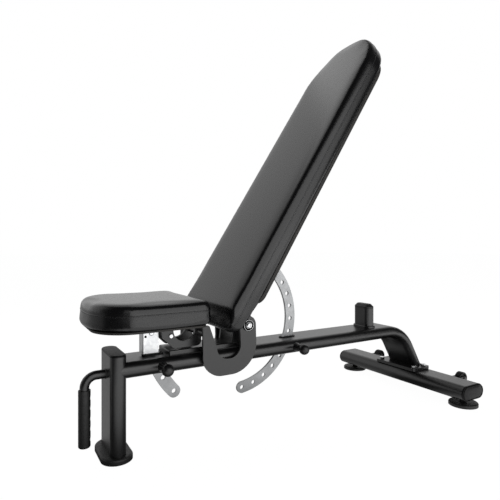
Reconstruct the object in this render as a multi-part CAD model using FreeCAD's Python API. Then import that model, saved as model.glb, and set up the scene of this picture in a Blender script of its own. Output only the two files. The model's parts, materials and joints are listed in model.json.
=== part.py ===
import FreeCAD, Part
import math
import os

# Adjustable weight bench, upright, millimetres, +Z up.
# Origin: middle of the front post's footprint, on the floor. +X runs to the rear of the bench.
# The lock pins are on the near side, -Y. "near" is -Y and "far" is +Y throughout.

V = FreeCAD.Vector

# ---- Driving dimensions -------------------------------------------------------------------

# Flat-oval tube of the front post and the main beam
OVAL_LONG = 136.0
OVAL_SHORT = 42.0
OVAL_WALL = 3.0

# Front foot and post
SHOE_LENGTH = 155.0
SHOE_WIDTH = 82.0
SHOE_HEIGHT = 15.0
SHOE_EDGE = 6.0
POST_ABOVE_BEAM = 18.0
POST_CAP_HEIGHT = 5.0

# Main beam: level run, then the bend down to the rear foot
BEAM_HEIGHT = 233.0
BEAM_RUN = 1008.0
BEND_RADIUS = 128.5
BEND_ANGLE = 60.0

# Carry handle on the front of the post
HANDLE_TUBE = 24.0
HANDLE_WALL = 2.5
HANDLE_REACH = 53.5
HANDLE_BELOW_BEAM = 15.0
HANDLE_BEND = 30.0
GRIP_DIAMETER = 31.0
GRIP_BELOW_BEND = 5.0
GRIP_LENGTH = 150.0
GRIP_END = 5.0
FINGER_COUNT = 5
FINGER_PITCH = 27.0
FINGER_RADIUS = 17.0
FINGER_DEPTH = 2.0

# Hinge stand on the beam
BASE_FRONT_GAP = 3.0
BASE_BEHIND_PIVOT = 36.0
BASE_WIDTH = 90.0
BASE_HEIGHT = 14.0
BASE_WALL = 4.0
UPRIGHT_INSIDE = 36.0
UPRIGHT_THICKNESS = 8.0
UPRIGHT_FOOT = 64.0
UPRIGHT_EYE = 24.0
UPRIGHT_HEIGHT = 57.0
PIVOT_X = 372.0

# Pivot shaft and its bushes
SHAFT_DIAMETER = 20.0
BUSH_WALL = 4.0
BUSH_FLANGE = 34.0
BUSH_FLANGE_THICKNESS = 5.4
BOLT_HEAD_DIAMETER = 18.0
BOLT_HEAD_HEIGHT = 5.0
RUNNING_CLEARANCE = 0.05
SIDE_CLEARANCE = 0.3

# Seat frame, measured from the pivot
HINGE_PLATE_INSIDE = 78.0
HINGE_PLATE_THICKNESS = 8.0
HINGE_PLATE_FRONT = 146.0
HINGE_PLATE_DROP = 138.0
HINGE_PLATE_REAR = 31.0
HINGE_ARM_WIDTH = 45.0
HINGE_EYE = 27.0
HINGE_ARM_CORNER = 6.0
HINGE_FRONT_BEND = 60.0
HINGE_REAR_BEND = 84.0
HINGE_THROAT_SHARE = 0.46
HINGE_EYE_INSET = 4.0
HINGE_ARM_TAPER = 2.0
HINGE_KNEE_DROP = 56.0
HINGE_KNEE_BEND = 12.0
SEAT_BOARD_RISE = 20.0
SEAT_PLATE_INSIDE = 30.0
SEAT_PLATE_THICKNESS = 8.0
SEAT_PLATE_FRONT = 248.0
SEAT_PLATE_REAR = 130.0
SEAT_PLATE_DEPTH = 73.0
SEAT_PLATE_HOLE = 66.0
SEAT_PLATE_STRIP = 17.0
SEAT_PLATE_WEB = 4.0
SEAT_PLATE_NOSE = 14.0
CROSS_TUBE_DIAMETER = 25.0
CROSS_TUBE_WALL = 3.0
CROSS_TUBE_FRONT = 133.0
CROSS_TUBE_DROP = 13.0

# Seat cushion
SEAT_REAR = 145.0
SEAT_LENGTH = 311.0
SEAT_THICKNESS = 67.0
SEAT_PAD_WIDTH = 330.0
SEAT_FRONT_CORNER = 108.0
SEAT_REAR_CORNER = 30.0
PAD_EDGE = 19.0
PAD_UNDER_EDGE = 11.0
SEAT_BOARD_THICKNESS = 5.0
BOARD_INSET = 14.0
PAD_CLEARANCE = 0.3

# Toothless lock arcs: curved strips with a row of pin holes, concentric with the pivot
ARC_THICKNESS = 8.0
ARC_HOLE = 14.0
NOTCH_ANGLE = 11.5
SEAT_ARC_RADIUS = 273.0
SEAT_ARC_WIDTH = 38.0
SEAT_ARC_HOLES_BELOW = 2
BACK_ARC_RADIUS = 214.0
BACK_ARC_WIDTH = 36.0
BACK_ARC_HOLES_BELOW = 5
BACK_ARC_HOLES_ABOVE = 6
SLOT_SIDE_GAP = 3.0
SLOT_END_GAP = 3.0
TRIM_RIM = 4.0
TRIM_THICKNESS = 3.0

# Folded bracket that hangs the seat arc
ARC_BRACKET_WIDTH = 38.0
ARC_BRACKET_WALL = 4.0
ARC_BRACKET_DEPTH = 83.0
ARC_BRACKET_GAP = 1.0

# Backrest, in its own axes: u up along the backrest, v out through the cushion, from the pivot
RECLINE = 57.5
RAIL_WIDTH = 20.0
RAIL_HEIGHT = 17.7
RAIL_WALL = 2.0
RAIL_INSIDE = 50.0
RAIL_START = -20.0
RAIL_END = 850.0
RAIL_OFFSET = 17.3
CHEEK_THICKNESS = 8.0
CHEEK_EYE = 22.0
CHEEK_FOOT = 95.0
BACK_BOARD_START = 60.0
BACK_BOARD_THICKNESS = 11.0
BACK_PAD_START = -55.0
BACK_PAD_END = 1112.0
BACK_PAD_WIDTH = 344.0
BACK_PAD_THICKNESS = 70.7
BACK_SHOULDER_DROP = 140.0
BACK_SHOULDER_ROUND = 150.0
BACK_CROWN_WIDTH = 155.0
BACK_CROWN_ROUND = 100.0
BACK_LOW_CORNER = 40.0
TOE_LENGTH = 59.0
TOE_DEPTH = 34.0
TOE_ROUND = 26.0
HEEL_LENGTH = 25.0
HEEL_DEPTH = 8.0
HEEL_TIP_DEPTH = 20.0
HEEL_ROUND = 7.0
CROSSBAR_WALL = 3.0
ARC_MOUNT_WIDTH = 52.0
REST_PLATE_WIDTH = 90.0

# Bumper post under the flat backrest
BUMPER_X = 935.0
BUMPER_LONG = 80.0
BUMPER_SHORT = 40.0
BUMPER_CAP_HEIGHT = 16.0
BUMPER_CAP_BEVEL = 9.5
BUMPER_RING_HEIGHT = 8.0
BUMPER_RING_RIM = 5.0
REST_GAP = 0.3

# Rear foot
STABILIZER_LENGTH = 594.0
STABILIZER_WIDTH = 116.0
STABILIZER_HEIGHT = 52.0
STABILIZER_WALL = 3.0
STABILIZER_AHEAD = 17.0
PLUG_THICKNESS = 7.0
PLUG_EDGE = 4.0
FLANGE_LENGTH = 94.0
FLANGE_MARGIN = 15.0
FLANGE_THICKNESS = 11.0
FLANGE_BOLT_X = 54.0
FLANGE_BOLT_OUT = 12.0
FLANGE_BOLT = 10.0
FOOT_DIAMETER = 97.0
FOOT_THICKNESS = 12.0
FOOT_SPACING = 532.0
FOOT_STEM = 22.0
FOOT_STEM_HEIGHT = 15.0

# Transport wheels behind the rear foot
WHEEL_DIAMETER = 50.0
WHEEL_WIDTH = 22.0
WHEEL_SPACING = 400.0
WHEEL_AXLE = 10.0
WHEEL_GAP = 3.0
WHEEL_SIDE_GAP = 1.5
WHEEL_LIFT = 9.0
WHEEL_CHEEK = 4.0

# Pull pins
PIN_DIAMETER = 13.4
PIN_HOUSING = 28.0
PIN_HOUSING_NOSE = 20.0
PIN_HOUSING_OUT = 18.0
PIN_HOUSING_IN = 8.0
PIN_TIP_GAP = 0.5
KNOB_DIAMETER = 33.0
KNOB_FLAT = 12.5
KNOB_STANDOFF = 8.5

# Small hardware
SCREW_HEAD = 14.0
SCREW_HEAD_HEIGHT = 3.5

# ---- Places worked out from the dimensions --------------------------------------------------

BEAM_TOP = BEAM_HEIGHT + OVAL_SHORT / 2
BEAM_BOTTOM = BEAM_HEIGHT - OVAL_SHORT / 2
POST_TOP = BEAM_TOP + POST_ABOVE_BEAM
GRIP_TOP = BEAM_HEIGHT - HANDLE_BELOW_BEAM - HANDLE_BEND - GRIP_BELOW_BEND
BASE_TOP = BEAM_TOP + BASE_HEIGHT
PIVOT_Z = BASE_TOP + UPRIGHT_HEIGHT
SHAFT_RADIUS = SHAFT_DIAMETER / 2
BUSH_BORE = SHAFT_RADIUS + RUNNING_CLEARANCE
BUSH_RADIUS = SHAFT_RADIUS + BUSH_WALL
UPRIGHT_OUTSIDE = UPRIGHT_INSIDE + UPRIGHT_THICKNESS
HINGE_PLATE_OUTSIDE = HINGE_PLATE_INSIDE + HINGE_PLATE_THICKNESS
SHAFT_END = HINGE_PLATE_OUTSIDE + BUSH_FLANGE_THICKNESS + SIDE_CLEARANCE
SEAT_BOARD_BOTTOM = PIVOT_Z + SEAT_BOARD_RISE
SEAT_BOARD_TOP = SEAT_BOARD_BOTTOM + SEAT_BOARD_THICKNESS
BOARD_BACK = RAIL_OFFSET + RAIL_HEIGHT
BOARD_FRONT = BOARD_BACK + BACK_BOARD_THICKNESS
STABILIZER_BOTTOM = FOOT_THICKNESS + FOOT_STEM_HEIGHT
STABILIZER_TOP = STABILIZER_BOTTOM + STABILIZER_HEIGHT
STABILIZER_Z = STABILIZER_BOTTOM + STABILIZER_HEIGHT / 2
FLANGE_TOP = STABILIZER_TOP + FLANGE_THICKNESS
FLANGE_BOLT_Y = OVAL_LONG + 2 * FLANGE_BOLT_OUT
FLANGE_WIDTH = FLANGE_BOLT_Y + 2 * FLANGE_MARGIN
BUMPER_TOP = PIVOT_Z + RAIL_OFFSET - REST_GAP
ARC_BRACKET_BOTTOM = SEAT_BOARD_BOTTOM - ARC_BRACKET_DEPTH

BEND = math.radians(BEND_ANGLE)
BEND_END_X = BEAM_RUN + BEND_RADIUS * math.sin(BEND)
BEND_END_Z = BEAM_HEIGHT - BEND_RADIUS * (1 - math.cos(BEND))
BEAM_FOOT_X = BEND_END_X + (BEND_END_Z - FLANGE_TOP) / math.tan(BEND)
STABILIZER_X = BEAM_FOOT_X - STABILIZER_AHEAD
WHEEL_X = STABILIZER_X + (STABILIZER_WIDTH + WHEEL_DIAMETER) / 2 + WHEEL_GAP
WHEEL_Z = STABILIZER_Z + WHEEL_LIFT
WHEEL_BORE = WHEEL_AXLE / 2 + RUNNING_CLEARANCE

PIN_DROP = PIVOT_Z - BEAM_HEIGHT
SEAT_PIN_ANGLE = -180 + math.degrees(math.asin(PIN_DROP / SEAT_ARC_RADIUS))
BACK_PIN_ANGLE = -math.degrees(math.asin(PIN_DROP / BACK_ARC_RADIUS))
SEAT_PIN_X = PIVOT_X - math.sqrt(SEAT_ARC_RADIUS ** 2 - PIN_DROP ** 2)
BACK_PIN_X = PIVOT_X + math.sqrt(BACK_ARC_RADIUS ** 2 - PIN_DROP ** 2)
PIN_BORE = PIN_DIAMETER / 2 + RUNNING_CLEARANCE
PIN_TIP = ARC_THICKNESS / 2 + PIN_TIP_GAP
PIN_HOUSING_END = OVAL_LONG / 2 + PIN_HOUSING_OUT
KNOB_FACE = PIN_HOUSING_END + KNOB_STANDOFF

TINY = 1e-6


# ---- Shape helpers --------------------------------------------------------------------------

def outline(corners):
    """Closed face in the XY plane from corners (x, y, corner radius), in order."""
    rounds = []
    for index, (x, y, radius) in enumerate(corners):
        here = V(x, y, 0)
        before = corners[index - 1]
        after = corners[(index + 1) % len(corners)]
        to_before = (V(before[0], before[1], 0) - here).normalize()
        to_after = (V(after[0], after[1], 0) - here).normalize()
        half = to_before.getAngle(to_after) / 2
        inward = (to_before + to_after).normalize()
        centre = here + inward * (radius / math.sin(half))
        reach = radius / math.tan(half)
        rounds.append((here + to_before * reach, centre - inward * radius, here + to_after * reach, radius))
    edges = []
    for index, (start, knee, end, radius) in enumerate(rounds):
        if radius > 0:
            edges.append(Part.Arc(start, knee, end).toShape())
        next_start = rounds[(index + 1) % len(rounds)][0]
        if end.distanceToPoint(next_start) > TINY:
            edges.append(Part.makeLine(end, next_start))
    return Part.Face(Part.Wire(edges))


def flat_plate(corners, low, high):
    """Plan outline (x, y, radius) raised from z = low to z = high."""
    plate = outline(corners).extrude(V(0, 0, high - low))
    plate.translate(V(0, 0, low))
    return plate


def side_plate(corners, low, high):
    """Side outline (x, z, radius) drawn out from y = low to y = high."""
    face = outline(corners)
    face.rotate(V(0, 0, 0), V(1, 0, 0), 90)
    plate = face.extrude(V(0, high - low, 0))
    plate.translate(V(0, low, 0))
    return plate


def racetrack(length, width):
    """Corners of a flat oval centred on the origin, with its length along the first axis."""
    half = length / 2
    side = width / 2
    return [(-half, -side, side), (half, -side, side), (half, side, side), (-half, side, side)]


def block(x_low, x_high, y_low, y_high, z_low, z_high):
    return Part.makeBox(x_high - x_low, y_high - y_low, z_high - z_low, V(x_low, y_low, z_low))


def rod_y(radius, x, z, y_low, y_high):
    return Part.makeCylinder(radius, y_high - y_low, V(x, y_low, z), V(0, 1, 0))


def rod_z(radius, x, y, z_low, z_high):
    return Part.makeCylinder(radius, z_high - z_low, V(x, y, z_low), V(0, 0, 1))


def hexagon(across_corners, x, y, z_low, z_high):
    points = []
    for corner in range(6):
        angle = math.radians(60 * corner)
        points.append((x + across_corners / 2 * math.cos(angle), y + across_corners / 2 * math.sin(angle), 0))
    return flat_plate(points, z_low, z_high)


def upright_oval(length, width, x, z_low, z_high):
    """Flat oval standing on end, with its length across the bench."""
    shape = flat_plate(racetrack(length, width), z_low, z_high)
    shape.rotate(V(0, 0, 0), V(0, 0, 1), 90)
    shape.translate(V(x, 0, 0))
    return shape


def soften(shape, radius, chosen):
    """Round the edges whose bounding box passes the test."""
    edges = [edge for edge in shape.Edges if chosen(edge.BoundBox)]
    return shape.makeFillet(radius, edges)


def at_level(height):
    return lambda box: abs(box.ZMin - height) < TINY and abs(box.ZMax - height) < TINY


def one(shape):
    """Merge coplanar faces, and unwrap a compound that holds a single solid."""
    merged = shape.removeSplitter()
    return merged.Solids[0] if len(merged.Solids) == 1 else merged


def far_of(shape):
    return shape.mirror(V(0, 0, 0), V(0, 1, 0))


def on_circle(radius, degrees):
    """Point of the XZ plane on a circle about the pivot."""
    angle = math.radians(degrees)
    return V(PIVOT_X + radius * math.cos(angle), 0, PIVOT_Z + radius * math.sin(angle))


def to_backrest(shape):
    """Turn a shape from the backrest's own axes into the bench's."""
    placed = shape.copy()
    placed.rotate(V(0, 0, 0), V(0, 1, 0), -RECLINE)
    placed.translate(V(PIVOT_X, 0, PIVOT_Z))
    return placed


# ---- Front post, foot and handle --------------------------------------------------------------

def post_outer():
    return upright_oval(OVAL_LONG, OVAL_SHORT, 0, SHOE_HEIGHT, POST_TOP)


def front_post():
    hollow = upright_oval(OVAL_LONG - 2 * OVAL_WALL, OVAL_SHORT - 2 * OVAL_WALL, 0, SHOE_HEIGHT, POST_TOP)
    return post_outer().cut(hollow)


def post_cap():
    top = POST_TOP + POST_CAP_HEIGHT
    cap = upright_oval(OVAL_LONG, OVAL_SHORT, 0, POST_TOP, top)
    return soften(cap, POST_CAP_HEIGHT * 0.7, at_level(top))


def front_foot_shoe():
    shoe = upright_oval(SHOE_LENGTH, SHOE_WIDTH, 0, 0, SHOE_HEIGHT)
    return soften(shoe, SHOE_EDGE, at_level(SHOE_HEIGHT))


def handle_x():
    return -OVAL_SHORT / 2 - HANDLE_REACH


def handle_run(radius):
    """Round bar along the handle: out from the post, round the bend and down into the grip."""
    height = BEAM_HEIGHT - HANDLE_BELOW_BEAM
    start = V(-OVAL_SHORT / 2, 0, height)
    bend_in = V(handle_x() + HANDLE_BEND, 0, height)
    knee = HANDLE_BEND * (1 - math.sqrt(0.5))
    bend_mid = V(handle_x() + knee, 0, height - knee)
    bend_out = V(handle_x(), 0, height - HANDLE_BEND)
    end = V(handle_x(), 0, GRIP_TOP - GRIP_LENGTH + GRIP_END)
    path = Part.Wire([
        Part.makeLine(start, bend_in),
        Part.Arc(bend_in, bend_mid, bend_out).toShape(),
        Part.makeLine(bend_out, end),
    ])
    profile = Part.Wire([Part.makeCircle(radius, start, V(-1, 0, 0))])
    return path.makePipeShell([profile], True, False)


def handle_tube():
    return handle_run(HANDLE_TUBE / 2).cut(handle_run(HANDLE_TUBE / 2 - HANDLE_WALL))


def handle_grip():
    bottom = GRIP_TOP - GRIP_LENGTH
    grip = rod_z(GRIP_DIAMETER / 2, handle_x(), 0, bottom, GRIP_TOP)
    grip = soften(grip, GRIP_END, at_level(bottom))
    grip = grip.cut(rod_z(HANDLE_TUBE / 2, handle_x(), 0, bottom + GRIP_END, GRIP_TOP))
    groove_x = handle_x() + GRIP_DIAMETER / 2 - FINGER_DEPTH + FINGER_RADIUS
    first = GRIP_TOP - (GRIP_LENGTH - (FINGER_COUNT - 1) * FINGER_PITCH) / 2
    for finger in range(FINGER_COUNT):
        height = first - finger * FINGER_PITCH
        grip = grip.cut(rod_y(FINGER_RADIUS, groove_x, height, -GRIP_DIAMETER, GRIP_DIAMETER))
    return grip


# ---- Main beam --------------------------------------------------------------------------------

def beam_run(inset):
    """Solid flat oval along the beam's centre line, inset from its outer skin."""
    start = V(0, 0, BEAM_HEIGHT)
    bend_in = V(BEAM_RUN, 0, BEAM_HEIGHT)
    half = BEND / 2
    bend_mid = V(BEAM_RUN + BEND_RADIUS * math.sin(half), 0, BEAM_HEIGHT - BEND_RADIUS * (1 - math.cos(half)))
    bend_out = V(BEND_END_X, 0, BEND_END_Z)
    past_flange = bend_out + V(math.cos(BEND), 0, -math.sin(BEND)) * (BEND_END_Z - STABILIZER_BOTTOM)
    path = Part.Wire([
        Part.makeLine(start, bend_in),
        Part.Arc(bend_in, bend_mid, bend_out).toShape(),
        Part.makeLine(bend_out, past_flange),
    ])
    profile = outline(racetrack(OVAL_LONG - 2 * inset, OVAL_SHORT - 2 * inset))
    profile.rotate(V(0, 0, 0), V(1, 1, 1), 120)
    profile.translate(start)
    return path.makePipeShell([profile.OuterWire], True, False)


def strip_span(radius, width, z_low, z_high):
    """Nearest and farthest reach from the pivot, along X, of an arc strip between two heights."""
    low = PIVOT_Z - z_low
    high = PIVOT_Z - z_high
    near = math.sqrt((radius - width / 2) ** 2 - low ** 2)
    far = math.sqrt((radius + width / 2) ** 2 - high ** 2)
    return near - SLOT_END_GAP, far + SLOT_END_GAP


def slot_cut(side, radius, width, z_low, z_high):
    """Round-ended slot for an arc strip; side is +1 behind the pivot and -1 ahead of it."""
    near, far = strip_span(radius, width, z_low, z_high)
    slot = flat_plate(racetrack(far - near + ARC_THICKNESS, ARC_THICKNESS + 2 * SLOT_SIDE_GAP), z_low, z_high)
    slot.translate(V(PIVOT_X + side * (near + far) / 2, 0, 0))
    return slot


def pin_places():
    return {"seat": SEAT_PIN_X, "back": BACK_PIN_X}


def main_beam():
    beam = beam_run(0).cut(beam_run(OVAL_WALL))
    beam = beam.cut(post_outer())
    beam = beam.cut(block(BEAM_RUN, BEAM_FOOT_X + OVAL_LONG, -OVAL_LONG, OVAL_LONG, 0, FLANGE_TOP))
    for side, radius, width in ((-1, SEAT_ARC_RADIUS, SEAT_ARC_WIDTH), (1, BACK_ARC_RADIUS, BACK_ARC_WIDTH)):
        beam = beam.cut(slot_cut(side, radius, width, BEAM_TOP - OVAL_WALL, BEAM_TOP))
        beam = beam.cut(slot_cut(side, radius, width, BEAM_BOTTOM, BEAM_BOTTOM + OVAL_WALL))
    for x in pin_places().values():
        beam = beam.cut(rod_y(PIN_HOUSING / 2, x, BEAM_HEIGHT, -OVAL_LONG, 0))
    return one(beam)


def slot_trim(side, radius, width):
    """Thin plastic rim round the top of a beam slot."""
    near, far = strip_span(radius, width, BEAM_TOP, BEAM_TOP + TRIM_THICKNESS)
    long_side = far - near + ARC_THICKNESS + 2 * TRIM_RIM
    short_side = ARC_THICKNESS + 2 * SLOT_SIDE_GAP + 2 * TRIM_RIM
    rim = flat_plate(racetrack(long_side, short_side), BEAM_TOP, BEAM_TOP + TRIM_THICKNESS)
    rim.translate(V(PIVOT_X + side * (near + far) / 2, 0, 0))
    return rim.cut(slot_cut(side, radius, width, BEAM_TOP, BEAM_TOP + TRIM_THICKNESS))


# ---- Hinge stand ------------------------------------------------------------------------------

def hinge_base():
    """Raised channel, open underneath, that spreads the hinge load along the beam."""
    near, _ = strip_span(SEAT_ARC_RADIUS, SEAT_ARC_WIDTH, BEAM_TOP, BEAM_TOP + TRIM_THICKNESS)
    front = PIVOT_X - near + ARC_THICKNESS / 2 + TRIM_RIM + BASE_FRONT_GAP
    rear = PIVOT_X + BASE_BEHIND_PIVOT
    half = BASE_WIDTH / 2
    base = block(front, rear, -half, half, BEAM_TOP, BASE_TOP)
    base = soften(base, BASE_WALL * 0.8, lambda box: box.ZMax - box.ZMin > TINY or box.ZMin > BASE_TOP - TINY)
    return base.cut(block(front + BASE_WALL, rear - BASE_WALL, BASE_WALL - half, half - BASE_WALL, BEAM_TOP,
                          BASE_TOP - BASE_WALL))


def eye_plate(corners, eye, bore, x, z, y_low, y_high):
    """Plate that ends in a round eye with a bore."""
    plate = side_plate(corners, y_low, y_high).fuse(rod_y(eye, x, z, y_low, y_high))
    return one(plate.cut(rod_y(bore, x, z, y_low, y_high)))


def upright_near():
    foot = UPRIGHT_FOOT / 2
    corners = [(PIVOT_X - foot, BASE_TOP, 0), (PIVOT_X + foot, BASE_TOP, 0),
               (PIVOT_X + UPRIGHT_EYE, PIVOT_Z, 0), (PIVOT_X - UPRIGHT_EYE, PIVOT_Z, 0)]
    return eye_plate(corners, UPRIGHT_EYE, SHAFT_RADIUS, PIVOT_X, PIVOT_Z, -UPRIGHT_OUTSIDE, -UPRIGHT_INSIDE)


def pivot_shaft():
    return rod_y(SHAFT_RADIUS, PIVOT_X, PIVOT_Z, -SHAFT_END, SHAFT_END)


def button_head(diameter, height):
    """Screw head with a bevelled rim, standing on the XY plane."""
    head = Part.makeCylinder(diameter / 2, height)
    edges = [edge for edge in head.Edges if at_level(height)(edge.BoundBox)]
    return head.makeChamfer(height * 0.5, edges)


def head_on_side(diameter, height, x, y, z):
    """Button head on a face that looks to -Y when y is negative and to +Y when it is positive."""
    head = button_head(diameter, height)
    head.rotate(V(0, 0, 0), V(1, 0, 0), 90 if y < 0 else -90)
    head.translate(V(x, y, z))
    return head


def pivot_bolts():
    heads = []
    for side in (-1, 1):
        head = head_on_side(BOLT_HEAD_DIAMETER, BOLT_HEAD_HEIGHT, PIVOT_X, side * SHAFT_END, PIVOT_Z)
        socket = hexagon(BOLT_HEAD_DIAMETER / 2, 0, 0, SHAFT_END + BOLT_HEAD_HEIGHT / 2, SHAFT_END * 2)
        socket.rotate(V(0, 0, 0), V(1, 0, 0), -90 * side)
        socket.translate(V(PIVOT_X, 0, PIVOT_Z))
        heads.append(head.cut(socket))
    return Part.makeCompound(heads)


# ---- Lock arcs --------------------------------------------------------------------------------

def arc_strip(radius, width, first, last, holes):
    """Flat strip bent round the pivot from angle first (rounded end) to last, with pin holes."""
    outer = radius + width / 2
    inner = radius - width / 2
    middle = (first + last) / 2
    turn = -1 if last > first else 1
    tip_direction = math.radians(first + turn * 90)
    tip = on_circle(radius, first) + V(math.cos(tip_direction), 0, math.sin(tip_direction)) * (width / 2)
    edges = [
        Part.Arc(on_circle(outer, first), on_circle(outer, middle), on_circle(outer, last)).toShape(),
        Part.makeLine(on_circle(outer, last), on_circle(inner, last)),
        Part.Arc(on_circle(inner, last), on_circle(inner, middle), on_circle(inner, first)).toShape(),
        Part.Arc(on_circle(inner, first), tip, on_circle(outer, first)).toShape(),
    ]
    strip = Part.Face(Part.Wire(edges)).extrude(V(0, ARC_THICKNESS, 0))
    strip.translate(V(0, -ARC_THICKNESS / 2, 0))
    for angle in holes:
        place = on_circle(radius, angle)
        strip = strip.cut(rod_y(ARC_HOLE / 2, place.x, place.z, -ARC_THICKNESS, ARC_THICKNESS))
    return strip


def arc_bracket_front():
    return PIVOT_X - SEAT_ARC_RADIUS - SEAT_ARC_WIDTH / 2 - ARC_BRACKET_GAP - ARC_BRACKET_WALL


def arc_bracket_bolt():
    """Place (x, z) of the cross bolt through the bracket and the seat arc."""
    return PIVOT_X - SEAT_ARC_RADIUS, PIVOT_Z - SEAT_ARC_WIDTH * 0.2


def seat_arc():
    holes = [SEAT_PIN_ANGLE + notch * NOTCH_ANGLE for notch in range(SEAT_ARC_HOLES_BELOW + 1)]
    strip = arc_strip(SEAT_ARC_RADIUS, SEAT_ARC_WIDTH, holes[-1], -180 - NOTCH_ANGLE, holes)
    ceiling = SEAT_BOARD_BOTTOM - ARC_BRACKET_WALL
    strip = strip.cut(block(-OVAL_LONG, PIVOT_X, -OVAL_LONG, OVAL_LONG, ceiling, ceiling + SEAT_ARC_RADIUS))
    x, z = arc_bracket_bolt()
    return one(strip.cut(rod_y(SCREW_HEAD / 4, x, z, -ARC_THICKNESS, ARC_THICKNESS)))


def seat_arc_bracket():
    """Folded channel, open to the rear, screwed under the seat board."""
    front = arc_bracket_front()
    rear = front + ARC_BRACKET_WALL + ARC_BRACKET_GAP + SEAT_ARC_WIDTH + ARC_BRACKET_GAP
    half = ARC_BRACKET_WIDTH / 2
    bracket = block(front, rear, -half, half, ARC_BRACKET_BOTTOM, SEAT_BOARD_BOTTOM)
    inside = half - ARC_BRACKET_WALL
    bracket = bracket.cut(block(front + ARC_BRACKET_WALL, rear, -inside, inside, ARC_BRACKET_BOTTOM,
                                SEAT_BOARD_BOTTOM - ARC_BRACKET_WALL))
    bracket = soften(bracket, ARC_BRACKET_WALL * 0.7,
                     lambda box: box.ZMax - box.ZMin > ARC_BRACKET_DEPTH - TINY and box.XMax < front + TINY)
    x, z = arc_bracket_bolt()
    return bracket.cut(rod_y(SCREW_HEAD / 4, x, z, -half, half))


def back_arc():
    low = BACK_PIN_ANGLE - BACK_ARC_HOLES_BELOW * NOTCH_ANGLE
    count = BACK_ARC_HOLES_BELOW + 1 + BACK_ARC_HOLES_ABOVE
    holes = [low + notch * NOTCH_ANGLE for notch in range(count)]
    strip = arc_strip(BACK_ARC_RADIUS, BACK_ARC_WIDTH, low, RECLINE + NOTCH_ANGLE, holes)
    reach = BACK_ARC_RADIUS * 2
    return one(strip.cut(to_backrest(block(0, reach, -reach, reach, RAIL_OFFSET, reach))))


# ---- Seat -------------------------------------------------------------------------------------

def hinge_plate_near():
    """U-shaped side plate: a rear arm on the pivot, a front arm under the seat."""
    front = PIVOT_X - HINGE_PLATE_FRONT
    rear = PIVOT_X + HINGE_PLATE_REAR
    bottom = PIVOT_Z - HINGE_PLATE_DROP
    arm_top = PIVOT_Z + SEAT_BOARD_RISE / 2
    inner_rear = PIVOT_X - HINGE_EYE + HINGE_EYE_INSET
    inner_front = front + HINGE_ARM_WIDTH
    floor = bottom + HINGE_ARM_WIDTH + HINGE_ARM_TAPER
    throat = (inner_rear - inner_front) * HINGE_THROAT_SHARE
    x, _ = cross_tube_place()
    corners = [
        (front, arm_top, HINGE_ARM_CORNER),
        (front, bottom, HINGE_FRONT_BEND),
        (rear, bottom, HINGE_REAR_BEND),
        (PIVOT_X + HINGE_EYE, PIVOT_Z, 0),
        (PIVOT_X - HINGE_EYE, PIVOT_Z, 0),
        (inner_rear, floor, throat),
        (inner_front, floor, throat),
        (inner_front - HINGE_ARM_TAPER, PIVOT_Z - HINGE_KNEE_DROP, HINGE_KNEE_BEND),
        (x + CROSS_TUBE_DIAMETER / 2 - 2 * CROSS_TUBE_WALL, arm_top, HINGE_ARM_CORNER),
    ]
    plate = eye_plate(corners, HINGE_EYE, BUSH_RADIUS, PIVOT_X, PIVOT_Z, -HINGE_PLATE_OUTSIDE, -HINGE_PLATE_INSIDE)
    return plate


def hinge_bush_near():
    """Flanged bush pressed in the U plate, turning on the shaft."""
    flange_end = HINGE_PLATE_OUTSIDE + BUSH_FLANGE_THICKNESS
    bush = rod_y(BUSH_RADIUS, PIVOT_X, PIVOT_Z, -flange_end, -HINGE_PLATE_INSIDE)
    flange = rod_y(BUSH_FLANGE / 2, PIVOT_X, PIVOT_Z, -flange_end, -HINGE_PLATE_OUTSIDE)
    return one(bush.fuse(flange).cut(rod_y(BUSH_BORE, PIVOT_X, PIVOT_Z, -flange_end, -HINGE_PLATE_INSIDE)))


def cross_tube_place():
    return PIVOT_X - CROSS_TUBE_FRONT, PIVOT_Z - CROSS_TUBE_DROP


def cross_tube_outer():
    x, z = cross_tube_place()
    return rod_y(CROSS_TUBE_DIAMETER / 2, x, z, -HINGE_PLATE_INSIDE, HINGE_PLATE_INSIDE)


def seat_cross_tube():
    x, z = cross_tube_place()
    hollow = rod_y(CROSS_TUBE_DIAMETER / 2 - CROSS_TUBE_WALL, x, z, -HINGE_PLATE_INSIDE, HINGE_PLATE_INSIDE)
    return cross_tube_outer().cut(hollow)


def seat_plate_bolts():
    """Places (x, z) of the bolts on the seat's side plates."""
    front = PIVOT_X - SEAT_PLATE_FRONT
    return ((front + SCREW_HEAD * 1.4, SEAT_BOARD_BOTTOM - SCREW_HEAD),
            (front + SCREW_HEAD * 1.8, SEAT_BOARD_BOTTOM - SCREW_HEAD * 2.7))


def seat_side_plate_near():
    """Side plate under the seat board, open in a wide round arch and coped round the cross tube."""
    front = PIVOT_X - SEAT_PLATE_FRONT
    rear = PIVOT_X - SEAT_PLATE_REAR
    low = SEAT_BOARD_BOTTOM - SEAT_PLATE_DEPTH
    radius = SEAT_PLATE_HOLE / 2
    corners = [(front, SEAT_BOARD_BOTTOM, 0), (front, low + radius, SEAT_PLATE_NOSE),
               (front + radius, low, SEAT_PLATE_NOSE), (rear, low, SEAT_PLATE_NOSE), (rear, SEAT_BOARD_BOTTOM, 0)]
    outside = SEAT_PLATE_INSIDE + SEAT_PLATE_THICKNESS
    plate = side_plate(corners, -outside, -SEAT_PLATE_INSIDE).cut(cross_tube_outer())
    tube_x, _ = cross_tube_place()
    hole_x = tube_x - CROSS_TUBE_DIAMETER / 2 - SEAT_PLATE_WEB - radius
    hole_z = low + SEAT_PLATE_STRIP + radius
    return one(plate.cut(rod_y(radius, hole_x, hole_z, -outside, -SEAT_PLATE_INSIDE)))


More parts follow.
